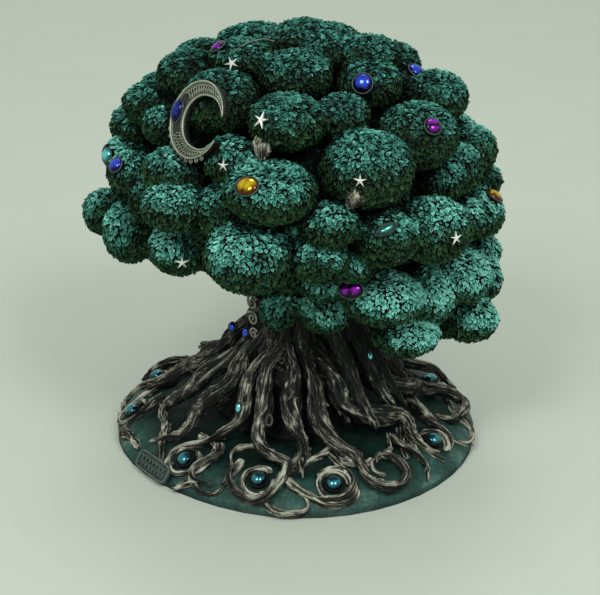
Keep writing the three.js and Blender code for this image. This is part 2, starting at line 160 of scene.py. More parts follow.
def frames_along(points):
    """Twist-free side vectors along a curve."""
    tangents = unit(np.gradient(points, axis=0), 1e-9)
    sides = [sideways(tangents[0])]
    for t in tangents:
        sides.append(unit(sides[-1] - t * (sides[-1] @ t), 1e-9))
    sides = np.array(sides[1:])
    return sides, np.cross(tangents, sides)


# ---- reading the frame (mm)


def read(items, key, kind=float):
    """Three numbers for each vertex or triangle of a mesh."""
    values = np.empty(len(items) * 3, kind)
    items.foreach_get(key, values)
    return values.reshape(-1, 3)


def welded(name):
    """Vertices in mm and triangles of a CAD node, with vertices in one place joined."""
    mesh = frame["nodes"][name].data
    mesh.calc_loop_triangles()
    co = read(mesh.vertices, "co") / MM
    _, first, index = np.unique(np.round(co, 2), axis=0, return_index=True, return_inverse=True)
    tri = index.ravel()[read(mesh.loop_triangles, "vertices", int)]
    return co[first], tri[(tri != np.roll(tri, 1, 1)).all(1)]


def tree_of(names):
    """A ray-casting tree, in mm, over some CAD nodes."""
    parts = Parts()
    for name in names:
        verts, tris = welded(name)
        parts.add(verts, tris=tris)
    verts, tris = np.concatenate(parts.verts), np.concatenate(parts.tris)
    return BVHTree.FromPolygons(verts.tolist(), tris.tolist(), all_triangles=True)


def rings_of(name):
    """Ring centres and radii of a drawn-out root, thick end first."""
    verts, tris = welded(name)
    near = [set() for _ in verts]
    for a, b, c in tris:
        near[a] |= {b, c}
        near[b] |= {a, c}
        near[c] |= {a, b}

    def levels(start):
        seen, level, out = {start}, [start], []
        while level:
            out.append(level)
            level = sorted({n for v in level for n in near[v]} - seen)
            seen |= set(level)
        return out

    # From either tip the rings are even. The higher tip is the thick end.
    found = [levels(v) for v in range(len(verts))]
    even = [f for f in found if len(f[-1]) == 1 and len({len(r) for r in f[1:-1]}) == 1]
    rings = max(even or found, key=lambda f: verts[f[0][0]][2])
    centres = np.array([verts[r].mean(0) for r in rings])
    radii = np.array([np.linalg.norm(verts[r] - c, axis=1).mean() for r, c in zip(rings, centres)])
    return centres, radii


def spheroid(name):
    """Centre and half axes (rows, shortest first) of a CAD spheroid."""
    verts, _ = welded(name)
    centre = verts.mean(0)
    spread, axes = np.linalg.eigh(np.cov((verts - centre).T, bias=True))
    return centre, axes.T * np.sqrt(3 * spread)[:, None]


def plate(name):
    """Centre and unit axes of a flat CAD piece: along, across, outwards."""
    verts, _ = welded(name)
    centre = verts.mean(0)
    _, axes = np.linalg.eigh(np.cov((verts - centre).T))
    out, along = faced_out(axes[:, 0], centre, CROWN_CENTRE - 10 * UP), axes[:, 2]
    return centre, along, np.cross(out, along), out


# ---- mesh building


def ring_faces(rings, sides, start=0, closed=False):
    """Four-sided faces between rings of points, the last ring joined to the first if closed."""
    r, c = np.meshgrid(np.arange(rings if closed else rings - 1), np.arange(sides), indexing="ij")
    nxt, after = (c + 1) % sides, (r + 1) % rings
    return start + np.stack([r * sides + c, r * sides + nxt, after * sides + nxt,
                             after * sides + c], -1).reshape(-1, 4)


def fan(centre, first, sides, flip=False):
    """Triangles from a centre point to a ring of points that starts at first."""
    k, nxt = first + np.arange(sides), first + (np.arange(sides) + 1) % sides
    return np.column_stack([np.full(sides, centre), *((nxt, k) if flip else (k, nxt))])


def skin(rings, low, high, flip=False):
    """A closed mesh over rings of points, with a centre point at each end."""
    count, sides = np.shape(rings)[:2]
    verts = np.vstack([*rings, low, high])
    quads = ring_faces(count, sides)
    caps = np.vstack([fan(count * sides, 0, sides, True),
                      fan(count * sides + 1, (count - 1) * sides, sides)])
    return (verts, quads[:, ::-1], caps[:, ::-1]) if flip else (verts, quads, caps)


def tube(points, radii, sides, relief=None):
    """A closed tube, and a value for its skin: paler where its relief stands high and on its
    upper side, with painted shade that deepens upwards under the crown and towards the right.
    relief(length, angle, radius) gives a height that is added to the radius."""
    points = np.asarray(points, float)
    angle = circle(sides)
    radii = np.broadcast_to(np.asarray(radii, float), len(points))[:, None]
    height = np.zeros((len(points), sides))
    if relief is not None:
        height = relief(lengths(points)[:, None], angle[None, :], radii)
    reach = radii + height * np.minimum(1, radii / 1.2)
    spokes = around(angle) @ np.stack(frames_along(points), 1)
    # Painted shade, deeper higher up under the crown and on the right. The upper side is painted
    # paler.
    shade = 0.34 * ease(points[:, 2], 14, 30) * (0.78 + 0.3 * np.clip(points[:, 0] / 20, -1, 1))
    wear_and_shading = height + 0.26 * spokes[..., 2] - (shade[:, None] - 0.07)
    wear_and_shading = np.concatenate([wear_and_shading.ravel(), wear_and_shading[0, :1], wear_and_shading[-1, :1]])
    return *skin(points[:, None] + reach[..., None] * spokes, points[0], points[-1]), wear_and_shading


def ring_tube(points, radius, sides=10):
    """A closed ring of round section through a loop of points."""
    tangent = unit(np.roll(points, -1, 0) - np.roll(points, 1, 0))
    side = points - points.mean(0)
    side = unit(side - tangent * (side * tangent).sum(1)[:, None])
    spokes = around(circle(sides)) @ np.stack([side, np.cross(tangent, side)], 1)
    rings = points[:, None] + radius * spokes
    return rings.reshape(-1, 3), ring_faces(len(points), sides, closed=True)


def dome(centre, axes, rows=14, sides=36):
    """A smooth spheroid."""
    lat = np.linspace(-math.pi / 2, math.pi / 2, rows + 1)[1:-1, None, None]
    rings = centre + np.sin(lat) * axes[0] + np.cos(lat) * (around(circle(sides)) @ axes[1:])
    return skin(rings, centre - axes[0], centre + axes[0], np.linalg.det(axes) < 0)


def put_in_scene(name, data):
    obj = bpy.data.objects.new(name, data)
    bpy.context.scene.collection.objects.link(obj)
    return obj


def build(name, verts, face_sets, material, replaces=(), smooth=True, slot=None, **values):
    """A piece of the object from vertices in mm, faces and per-vertex values. smooth is one
    flag for all faces, or one for each. The slot is not used."""
    mesh = bpy.data.meshes.new(name)
    mesh.vertices.add(len(verts))
    mesh.vertices.foreach_set("co", (np.asarray(verts) * MM).astype(np.float32).ravel())
    face_sets = [np.asarray(f) for f in face_sets if len(f)]
    corners = np.concatenate([f.ravel() for f in face_sets]).astype(np.int32)
    sizes = np.concatenate([np.full(len(f), f.shape[1]) for f in face_sets])
    mesh.loops.add(len(corners))
    mesh.loops.foreach_set("vertex_index", corners)
    mesh.polygons.add(len(sizes))
    mesh.polygons.foreach_set("loop_start", np.concatenate([[0], np.cumsum(sizes)[:-1]]))
    mesh.update(calc_edges=True)
    mesh.validate()
    mesh.polygons.foreach_set("use_smooth", np.broadcast_to(smooth, len(sizes)).copy())
    for key, value in values.items():
        layer = mesh.attributes.new(key, "FLOAT", "POINT")
        layer.data.foreach_set("value", np.asarray(value, np.float32))
    obj = put_in_scene(name, mesh)
    mesh.materials.append(material)
    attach(obj, "root")
    if replaces:
        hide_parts(*replaces)


class Parts:
    """Gathers meshes that become one piece, with a value for each vertex."""

    def __init__(self):
        self.verts, self.quads, self.tris, self.value, self.count = [], [], [], [], 0

    def add(self, verts, quads=(), tris=(), value=0.0):
        for store, faces in ((self.quads, quads), (self.tris, tris)):
            if len(faces):
                store.append(np.asarray(faces) + self.count)
        self.verts.append(np.asarray(verts))
        self.value.append(np.broadcast_to(np.asarray(value, float), len(verts)))
        self.count += len(verts)

    def tube(self, points, radii, sides, relief=None, value=None):
        *mesh, wear_and_shading = tube(points, radii, sides, relief)
        self.add(*mesh, wear_and_shading if value is None else value)

    def build(self, name, material, replaces=(), key="ridge"):
        faces = [np.concatenate(f) for f in (self.quads, self.tris) if f]
        build(name, np.concatenate(self.verts), faces, material, replaces,
              **{key: np.concatenate(self.value)})


def single(name, mesh, value, *look, **more):
    """A piece made of one mesh."""
    parts = Parts()
    parts.add(*mesh, value=value)
    parts.build(name, *look, **more)


# ---- materials


class Nodes:
    """A short way to write a node material around one Principled shader."""

    def __init__(self, name, **sockets):
        self.mat = bpy.data.materials.new(name)
        self.mat.use_nodes = True
        self.tree = self.mat.node_tree
        self.bsdf = self.tree.nodes["Principled BSDF"]
        self.coords = self.tree.nodes.new("ShaderNodeTexCoord").outputs["Object"]
        for key, value in sockets.items():
            self.bsdf.inputs[key.replace("_", " ")].default_value = value

    def node(self, kind, **links):
        node = self.tree.nodes.new("ShaderNode" + kind)
        for key, value in links.items():
            self.put(node.inputs[key.replace("_", " ")], value)
        return node

    def put(self, socket, value):
        if isinstance(value, bpy.types.NodeSocket):
            self.tree.links.new(value, socket)
        else:
            socket.default_value = value

    def attribute(self, name):
        node = self.node("Attribute")
        node.attribute_name = name
        return node.outputs["Fac"]

    def noise(self, size, detail=3.0):
        """Noise with features of about size mm."""
        return self.node("TexNoise", Vector=self.coords, Scale=1 / (size * MM), Detail=detail,
                         Roughness=0.55).outputs["Fac"]

    def between(self, value, low, high, to_low=0.0, to_high=1.0):
        return self.node("MapRange", Value=value, From_Min=low, From_Max=high, To_Min=to_low,
                         To_Max=to_high).outputs[0]

    def mottle(self, size, low, high, detail=3.0):
        """Noise that mostly lies between low and high."""
        return self.between(self.noise(size, detail), 0.3, 0.7, low, high)

    def total(self, *values):
        """The sum of some values, kept between 0 and 1."""
        so_far = values[0]
        for value in values[1:]:
            node = self.node("Math")
            self.put(node.inputs[0], so_far)
            self.put(node.inputs[1], value)
            so_far = node.outputs[0]
        node.use_clamp = True
        return so_far

    def ramp(self, value, *stops):
        node = self.node("ValToRGB", Fac=value)
        elements = node.color_ramp.elements
        while len(elements) < len(stops):
            elements.new(0.5)
        for element, (place, colour) in zip(elements, stops):
            element.position = place
            element.color = (*colour, 1)
        return node.outputs["Color"]

    def mix(self, amount, a, b):
        node = self.node("Mix")
        node.data_type = "RGBA"
        self.put(node.inputs["Factor"], amount)
        for socket, value in zip((s for s in node.inputs if s.type == "RGBA"), (a, b)):
            self.put(socket, value)
        return next(s for s in node.outputs if s.type == "RGBA")

    def finish(self, colour, rough=None, bump=None, strength=0.0, depth=0.0):
        """Links colour, roughness and a bump of depth mm."""
        self.put(self.bsdf.inputs["Base Color"], colour)
        if rough is not None:
            self.put(self.bsdf.inputs["Roughness"], rough)
        if bump is not None:
            node = self.node("Bump", Height=bump, Strength=strength, Distance=depth * MM)
            self.put(self.bsdf.inputs["Normal"], node.outputs["Normal"])
        return self.mat


def bark_material():
    """Dark clay bark, pale where dry-brushed on its raised relief, with painted shade under the
    crown, at the trunk's foot and in the knot holes.
    """
    n = Nodes("bark", Specular_IOR_Level=0.25)
    # The value read here carries painted shade under the crown and at the trunk's foot, as well as
    # the pale brushing.
    wear_and_shading = n.total(n.between(n.noise(7), 0.35, 0.65, -0.16, 0.12),
                   n.between(n.attribute("ridge"), -0.2, 0.98), n.mottle(0.7, -0.12, 0.12))
    colour = n.ramp(wear_and_shading, (0.0, (0.002, 0.0045, 0.0035)), (0.3, (0.014, 0.013, 0.011)),
                    (0.5, (0.062, 0.060, 0.048)), (0.7, (0.20, 0.20, 0.155)),
                    (1.0, (0.50, 0.52, 0.41)))
    return n.finish(colour, n.between(wear_and_shading, 0, 1, 0.75, 0.55), n.noise(0.45), 0.6, 0.15)


def plinth_material():
    """Dark teal clay, mottled, paler where the rim is dry-brushed, with painted shade round
    the pearls.
    """
    n = Nodes("plinth_paint", Specular_IOR_Level=0.22)
    edge = n.total(n.attribute("ridge"), n.mottle(14, -0.2, 0.2), n.mottle(1.4, -0.1, 0.1))
    colour = n.ramp(edge, (0.0, (0.002, 0.008, 0.006)), (0.4, (0.006, 0.024, 0.018)),
                    (0.75, (0.022, 0.072, 0.058)), (1.0, (0.09, 0.18, 0.15)))
    return n.finish(colour, n.mottle(6, 0.45, 0.6), n.noise(0.9), 0.35, 0.15)


def leaf_material():
    """Leaf scales: near-black in the depths, a dark wash deepened with painted shade, green below,
    teal where brushed, and paler with a painted highlight on the sides that face up and out.
    """
    n = Nodes("leaves", Specular_IOR_Level=0.15)
    tone = n.total(n.attribute("tone"), n.mottle(0.6, -0.06, 0.06))
    teal = n.ramp(tone, (0.0, (0.0005, 0.002, 0.0015)), (0.3, (0.004, 0.022, 0.017)),
                  (0.55, (0.022, 0.125, 0.095)), (0.8, (0.085, 0.36, 0.29)),
                  (1.0, (0.23, 0.64, 0.53)))
    green = n.ramp(tone, (0.0, (0.0005, 0.002, 0.0008)), (0.3, (0.005, 0.022, 0.007)),
                   (0.6, (0.026, 0.085, 0.028)), (1.0, (0.12, 0.27, 0.11)))
    colour = n.mix(n.attribute("green"), teal, green)
    return n.finish(colour, n.between(tone, 0, 1, 0.8, 0.5), n.noise(0.4), 0.3, 0.08)


def metal_material(name, dark, mid, pale, metallic):
    """Antiqued metal: dark in the hollows, pale where rubbed on the raised parts."""
    n = Nodes(name, Metallic=metallic)
    wear_and_shading = n.total(n.attribute("ridge"), n.mottle(0.9, -0.12, 0.12))
    colour = n.ramp(wear_and_shading, (0.0, dark), (0.5, mid), (1.0, pale))
    return n.finish(colour, n.mottle(1.5, 0.30, 0.46), n.noise(0.35), 0.3, 0.06)


def gem_material(name, deep, bright):
    """A cabochon with a bright metal backing: painted shade at its girdle and a painted highlight
    towards its top and upper side.
    """
    n = Nodes(name, Roughness=0.14, Metallic=0.85, Coat_Weight=0.25, Coat_Roughness=0.03)
    shine = n.total(n.attribute("glow"), n.mottle(2.4, -0.25, 0.2, 2))
    return n.finish(n.ramp(shine, (0.25, deep), (0.95, bright)))


BARK = bark_material()
LEAVES = leaf_material()
PLINTH = plinth_material()
PEWTER = metal_material("pewter", (0.006, 0.008, 0.006), (0.10, 0.115, 0.085),
                        (0.42, 0.46, 0.36), 0.35)
SILVER = metal_material("silver", (0.30, 0.32, 0.29), (0.66, 0.70, 0.64), (0.90, 0.93, 0.88), 0.1)
PLAQUE = metal_material("plaque_paint", (0.008, 0.016, 0.013), (0.035, 0.065, 0.055),
                        (0.24, 0.29, 0.23), 0.0)
GEM_PAINTS = {
    "blue": gem_material("blue_gem", (0.001, 0.002, 0.05), (0.04, 0.09, 0.82)),
    "purple": gem_material("purple_gem", (0.006, 0.001, 0.014), (0.42, 0.015, 0.66)),
    "amber": gem_material("amber_gem", (0.10, 0.022, 0.001), (1.0, 0.66, 0.01)),
    "teal": gem_material("teal_gem", (0.02, 0.16, 0.16), (0.18, 0.80, 0.80)),
    "pearl": gem_material("pearl_glaze", (0.002, 0.014, 0.020), (0.05, 0.25, 0.31)),
}


# ---- bark


def bark_relief(seed, width=0.85, length=11.0):
    """Ridges of about width mm that run along a tube and split and join as bark does."""
    def relief(along, angle, radius):
        s, a, r = (np.broadcast_to(v, np.broadcast(along, angle, radius).shape)
                   for v in (along, angle, radius))
        a = a + s / 28 + 0.5 * np.sin(s / 13 + seed)
        reach = np.maximum(r, 0.8)
        spots = np.stack([reach * np.cos(a) / width + 7.7 * seed, reach * np.sin(a) / width,
                          s / length], -1).reshape(-1, 3)
        coarse = np.array([noise.noise(p) for p in spots])
        fine = np.array([noise.noise(p) for p in spots * (1.9, 1.9, 1.5) + 31.7])
        swell = np.array([noise.noise(p) for p in spots * (0.3, 0.3, 0.8) + 11.3])
        height = (0.75 * (1 - 2.6 * np.abs(coarse)) + 0.35 * (1 - 2.6 * np.abs(fine))
                  + 0.5 * swell - 0.42)
        return height.reshape(s.shape)
    return relief


TRUNK_TREE, PLINTH_TREE = tree_of(["trunk"]), tree_of(["plinth"])
TRUNK_LOW, TRUNK_HIGH = (c.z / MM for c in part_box("trunk"))


def wall_reach(tree, bearing, z):
    """Distance from the axis to the outside of a CAD piece."""
    hit = tree.ray_cast(Vector(polar(bearing, 90, z)), Vector(polar(bearing, -1, 0)))
    return 15.0 if hit[0] is None else math.hypot(hit[0].x, hit[0].y)


CLIMBING = 2.6    # thickness in mm from which a root climbs the trunk
WOUND = 1.9       # thickness from which thinner strands wind along it


def climb(start, radius, twist):
    """The strand that carries a root up the trunk into the crown, top first."""
    bearing = bearing_of(start)
    points, radii = [], []
    for t in np.linspace(1, 0.08, 9):
        z = start[2] + t * (TRUNK_HIGH + 6 - start[2])
        turn = bearing + twist * t
        wall = wall_reach(TRUNK_TREE, turn, min(z, TRUNK_HIGH - 1))
        points.append(polar(turn, wall + radius * (0.45 - 0.5 * t), z))
        radii.append(radius * (1 - 0.35 * t))
    return points, radii


def make_roots():
    """The CAD roots, with bark. The thick ones climb the trunk into the crown."""
    for k, name in enumerate(ROOTS):
        centres, radii = rings_of(name)
        girth = radii.max()
        radii[0] = radii[1] * 0.9
        centres, radii = centres[:-1], radii[:-1]
        if girth > CLIMBING:
            points, sizes = climb(centres[0], radii[1], 26 * math.sin(k * 2.1))
            centres = np.vstack([points, centres[1:]])
            radii = np.concatenate([sizes, radii[1:]])
        points, sizes, along = resample(centres, radii, 0.7)
        sway = ease(along, 0, 12) * ease(along, along[-1], -8)
        for axis, step in ((0, 13.0), (1, 11.0)):
            points[:, axis] += 1.3 * sway * np.sin(along / step * 2.6 + 1.9 * k + axis)
        # Slimmer on the plinth, pinched at the tip, and uneven on the way.
        sizes = sizes * (1 - 0.28 * ease(np.hypot(points[:, 0], points[:, 1]), 42, 16))
        sizes = sizes * ease(along, along[-1], -15).clip(0.1) ** 0.5
        sizes = sizes * (1 + 0.16 * sway * np.sin(along / 4.7 + k) * np.cos(along / 9.1 + 2 * k))
        sizes[-1] = 0.12
        parts = Parts()
        sides = int(np.clip(2 * math.pi * girth / 0.42, 28, 64))
        parts.tube(points, sizes, sides, bark_relief(k))
        if girth > WOUND:
            strand(parts, points, sizes, k)
        parts.build(name, BARK, [name])


def strand(parts, points, sizes, seed):
    """Thinner strands that wind along a root and lose themselves in it."""
    a, b = frames_along(points)
    for turn in np.linspace(0.4, 6.0, 5 if sizes.max() < CLIMBING else 8):
        first = int(len(points) * rng.uniform(0.05, 0.25))
        last = int(len(points) * rng.uniform(0.55, 0.92))
        t = np.linspace(0, 1, last - first)
        angle = turn + seed + rng.uniform(-2.6, 2.6) * t + 0.5 * np.sin(7 * t + seed)
        part = slice(first, last)
        spoke = a[part] * np.cos(angle)[:, None] + b[part] * np.sin(angle)[:, None]
        path = points[part] + 0.86 * sizes[part, None] * spoke
        girth = sizes[part] * rng.uniform(0.17, 0.36)
        parts.tube(path, girth * np.sin(math.pi * np.clip(t, 0.03, 0.97)) ** 0.5,
                   14, bark_relief(seed + turn))


# Thin root strands that tie the roots together over the plinth: thickness at the start and at
# the end, then pairs of bearing and distance from the axis along the strand.
LINKS = [
    [1.3, 0.5, -10, 69, -10, 71, -9, 73, -6, 75, -2, 76, 2, 75.5, 4, 74, 3, 71, 0, 68],
    [1.0, 0.3, -10, 69, -11, 72, -12, 74, -14, 76],
    [1.3, 1.0, -5, 62, -2, 65, 1, 68, 5, 71],
    [1.3, 0.9, 2, 46, -1, 54, -4, 61, -7, 66],
    [1.4, 1.2, 22, 42, 15, 47, 8, 51, 3, 54],
    [1.5, 1.2, 20, 47, 21, 56, 25, 60, 31, 60],
    [1.4, 0.4, 103, 56, 103, 63, 106, 70, 107, 75],
    [1.3, 0.5, 86, 69, 85, 73, 80, 75.5, 74, 75, 70, 72, 68, 68],
    [1.8, 1.2, 100, 46, 91, 50, 81, 54, 74, 59, 70, 62],
    [1.3, 0.9, -119, 71, -112, 75, -104, 76, -98, 75.5],
    [1.2, 0.9, -82, 73, -75, 71, -70, 71, -66, 71],
    [1.7, 0.8, -69, 57, -62, 61, -56, 66, -52, 69],
    [1.5, 1.0, -52, 50, -48, 49, -42, 50, -37, 53],
    [1.3, 0.9, -22, 56, -23, 61, -24, 66, -26, 68],
    [1.1, 0.4, -34, 69, -38, 71, -41, 73, -43, 75],
    [1.5, 1.0, 59, 50, 51, 55, 46, 61, 44, 65],
    [1.4, 0.8, -122, 60, -129, 66, -134, 72, -128, 75, -120, 74, -114, 70],
    [1.5, 0.8, -138, 62, -130, 62, -124, 66, -121, 72],
    [1.4, 0.8, -150, 58, -158, 64, -166, 70, -170, 74, -164, 75, -156, 72],
    [1.5, 0.9, -172, 60, 178, 66, 172, 70, 168, 74],
    [1.6, 0.8, 164, 52, 156, 60, 150, 67, 143, 70, 137, 68],
    [1.4, 0.7, 142, 54, 132, 58, 126, 64, 126, 71, 131, 75, 138, 74],
    [1.5, 0.7, 124, 50, 118, 56, 110, 58, 103, 62, 101, 68],
    [1.4, 0.8, -176, 50, -168, 54, -160, 55, -150, 52],
    [1.4, 0.6, -112, 56, -104, 60, -98, 66, -93, 74, -97, 76],
    [1.3, 0.6, 36, 60, 42, 57, 48, 52, 54, 47],
    [1.2, 0.5, 152, 74, 146, 76, 139, 75.5],
    [1.3, 0.8, -43, 42, -45, 46, -46, 53, -49, 58, -51, 64, -50, 68.5],
    [1.2, 0.7, -39, 50, -34, 61, -37, 68, -32, 71.5, -26, 71, -24, 66],
    [0.7, 0.9, -41, 74, -39, 71, -37, 68],
    [1.3, 0.6, 56, 55, 49, 65, 48, 71, 45, 75],
    [1.2, 0.5, 58, 56, 54, 66, 57, 73],
    [1.1, 0.6, 39, 65, 36, 59.5, 30, 61, 29, 65, 32, 68],
    [1.2, 0.9, -3, 66, 4, 70.5, 10, 74, 17, 74, 20, 70, 18, 63, 17, 52, 16, 45],
    [1.2, 0.7, -91, 57, -78, 56, -65, 59, -58, 66],
    [1.2, 0.7, 97, 64, 85, 68, 81, 75, 74, 76],
    [1.5, 0.9, 6, 41, 4, 50, 2, 56, -3, 63],
    [1.1, 0.6, -83, 71, -79, 74, -70, 70, -65, 71],
    [1.1, 0.8, -23, 41, -30, 47, -28, 54, -25, 60],
]


def on_plinth(bearing, distance, lift=0.0):
    """A point on the CAD plinth's upper side."""
    distance = min(distance, 76 if abs(bearing + 40) > 30 else 73)
    hit = PLINTH_TREE.ray_cast(Vector(polar(bearing, distance, 40)), Vector((0, 0, -1)))
    return polar(bearing, distance, (2.0 if hit[0] is None else hit[0].z) + lift)


def thin_root(parts, route, girth, seed):
    """A thin root with pinched ends, brushed paler than the thick ones."""
    points, sizes, _ = resample(route, girth, 0.6)
    sizes[[0, -1]] *= 0.3
    parts.tube(points, sizes, 18, bark_relief(seed))
    parts.value[-1] = parts.value[-1] + 0.16


PEARL_LOOP, LOOP_WIDTH = 5.6, 6.2    # half axes of the roots curled round the pearls
FLARE_STRANDS, STRANDS_TOP = 44, 86
BUTTRESSES = (38, 52, 66, 82, 98, 114, 130, 160, -165)    # their bearings


def make_links():
    """The net of thin roots, a root curled round each pearl, and strands down the flare."""
    parts = Parts()
    for k, (thick, thin, *route) in enumerate(LINKS):
        route = np.reshape(route, (-1, 2))
        girth = np.linspace(thick, thin, len(route)) * 1.15
        centres = [on_plinth(b, d, 0.45 * g) for (b, d), g in zip(route, girth)]
        thin_root(parts, centres, girth, k + 0.5)
    for k, name in enumerate(PEARLS):
        centre, _ = spheroid(name)
        bearing, distance = bearing_of(centre), math.hypot(centre[0], centre[1])
        turn = np.linspace(0.3 + k, 6.0 + k, 16)
        route = [on_plinth(bearing + math.degrees(LOOP_WIDTH * math.sin(t) / distance),
                           distance + PEARL_LOOP * math.cos(t), 0.9) for t in turn]
        thin_root(parts, route, np.linspace(1.15, 0.6, 16), k + 0.2)
    parts.build("root_net", BARK)
    parts = Parts()
    for k in range(FLARE_STRANDS):
        bearing = k * 360 / FLARE_STRANDS + rng.uniform(-4, 4)
        twist, girth = rng.uniform(-24, 24), rng.uniform(1.3, 2.7)
        low = rng.uniform(15, 30)
        t = np.linspace(0, 1, 14)
        heights = STRANDS_TOP + (low - STRANDS_TOP) * t ** 0.8
        turn = bearing + twist * t + 5 * np.sin(5 * t + k)
        route = [polar(b, wall_reach(TRUNK_TREE, b, min(z, TRUNK_HIGH - 1)) + 0.25 * girth, z)
                 for b, z in zip(turn, heights)]
        sizes = girth * np.clip(np.sin(math.pi * np.clip(t, 0.05, 0.96)), 0, 1) ** 0.4
        points, sizes, _ = resample(route, sizes, 0.8)
        parts.tube(points, sizes, 20, bark_relief(k + 0.7))
    parts.build("flare_strands", BARK)
    for k, bearing in enumerate(BUTTRESSES):
        turn = bearing + rng.uniform(-4, 4)
        spread = 4 if bearing < 0 else 8
        route = [polar(turn - 14, 12, 88), polar(turn - 8, 15 + spread / 2, 72),
                 polar(turn, 19 + spread, 56), polar(turn + 3, 27 + spread, 42),
                 polar(turn + 4, 38 + spread / 2, 30), polar(turn + 8, 49, 19)]
        points, sizes, _ = resample(route, [2.6, 3.4, 3.4, 3.0, 2.4, 0.8], 0.8)
        parts = Parts()
        parts.tube(points, sizes, 34, bark_relief(k + 4.4))
        strand(parts, points, sizes, k)
        parts.build(f"buttress_{k + 1}", BARK)


def make_trunk():
    """The trunk's skin. Its foot is drawn in and darkened with painted shade, so that dark pits
    show between the roots.
    """
    sides = 240
    heights = np.arange(TRUNK_LOW + 0.1, TRUNK_HIGH - 0.1, 0.7)
    bearings = np.linspace(0, 360, sides, endpoint=False)
    reach = np.array([[wall_reach(TRUNK_TREE, b, z) for b in bearings[::4]] for z in heights])
    reach = np.array([np.interp(bearings, bearings[::4], row, period=360) for row in reach])
    angle = np.radians(bearings)[None, :]
    z = heights[:, None]
    relief = bark_relief(1.7, 2.4, 16)(z * 1.3, angle, np.full_like(z, 17.0))
    reach = reach + 1.2 * relief - 13 * ease(z, 33, -14)
    grid = np.stack([reach * np.sin(angle), -reach * np.cos(angle),
                     np.broadcast_to(z, reach.shape)], -1)
    # Painted shade: darker towards the foot, in the pits between the roots.
    wear_and_shading = relief - 0.8 * ease(z, 34, -18)
    single("trunk_body", skin(grid, (0, 0, heights[0]), (0, 0, heights[-1])),
           np.concatenate([wear_and_shading.ravel(), [0, 0]]), BARK, ["trunk"])


# ---- plinth


def make_plinth():
    """The plinth's skin, uneven, paler near the rim, with painted shade in a pit round each pearl.
    """
    sides, rim = 360, 78.0
    distances = np.concatenate([np.linspace(0.5, 56, 30), np.arange(56.7, rim, 0.55)])
    bearings = np.linspace(0, 360, sides, endpoint=False)
    pearls = [spheroid(name)[0] for name in PEARLS]
    edge = [wall_reach(PLINTH_TREE, bearing, 0.6) - 0.15 for bearing in bearings]
    verts, ridge = [], []
    for distance in distances:
        for bearing, reach in zip(bearings, edge):
            d = distance * reach / rim
            p = polar(bearing, d, 30)
            hit = PLINTH_TREE.ray_cast(Vector(p), Vector((0, 0, -1)))
            z = 1.5 if hit[0] is None else hit[0].z
            bump = 0.35 * noise.noise(Vector(p) / 9) + 0.15 * noise.noise(Vector(p) / 2.5)
            wear_and_shading = ease(d, 58, 14)
            # Painted shade: dark in a pit round each pearl.
            pit = min(math.hypot(p[0] - c[0], p[1] - c[1]) for c in pearls)
            wear_and_shading -= 0.6 * ease(pit, 7, -2.5)
            verts.append([p[0], p[1], z + bump])
            ridge.append(0.22 + 0.55 * wear_and_shading + 0.5 * bump)
    verts += [polar(bearing, reach - 0.4, 0) for bearing, reach in zip(bearings, edge)]
    ridge = np.concatenate([ridge, np.full(sides, 0.35), [0.2, 0.2]])
    verts, quads, caps = skin(np.reshape(verts, (-1, sides, 3)), (0, 0, 12.0), (0, 0, 0))
    single("plinth_body", (verts, quads, caps[:, ::-1]), ridge, PLINTH, ["plinth"])


# ---- trim


def set_stone(name, paint, bezel, width, wear_and_shading):
    """A cabochon and the thin ring that holds it."""
    centre, axes = spheroid(name)
    axes[0] = faced_out(axes[0], centre, centre - UP if name in PEARLS else CROWN_CENTRE)
    if name in LARGER_STONES:
        axes = axes * LARGER
    if name in LIFTED_PEARLS:
        centre = centre + PEARL_LIFT
    if name == "gem_purple_low":  # turned to the front and drawn out of the leaves
        short, middle, long = np.linalg.norm(axes, axis=1)
        turned = np.array([-0.2, -0.88, 0.42]) * short
        side = unit(np.cross(UP, turned))
        axes = np.array([turned, np.cross(turned, side) / np.linalg.norm(turned) * middle,
                         side * long])
        centre = centre + (-2.2, -3.8, 4.0)
    stone = dome(centre, axes)
    offset = stone[0] - centre
    height = offset @ axes[0] / (axes[0] @ axes[0])
    side = offset @ axes[2] / (axes[2] @ axes[2])
    # Painted highlight towards the stone's top and on its upper side, painted shade at its girdle
    # and below.
    rise = offset[:, 2] / np.abs(offset[:, 2]).max()
    # A painted dark band across the middle, between two lobes of painted highlight, deepest on the
    # purple stones.
    depth, spread = (0.95, 0.24) if "purple" in name else (0.3, 0.16)
    highlight_gain = 0.85 if "amber" in name else 1.15
    glow = highlight_gain * np.clip(height, 0, 1) ** 2 + 0.3 * rise - depth * np.exp(-(side / spread) ** 2)
    # The moon's stone gets half as much painted highlight.
    glow = glow * (0.5 if name == "moon_gem" else 1.0)
    single(name + "_stone", stone, glow, paint, [name], "glow")
    ring = centre + 0.1 * axes[0] + 1.06 * oval(0, axes[1], axes[2], 48)
    single(name + "_bezel", ring_tube(ring, width), wear_and_shading, bezel)


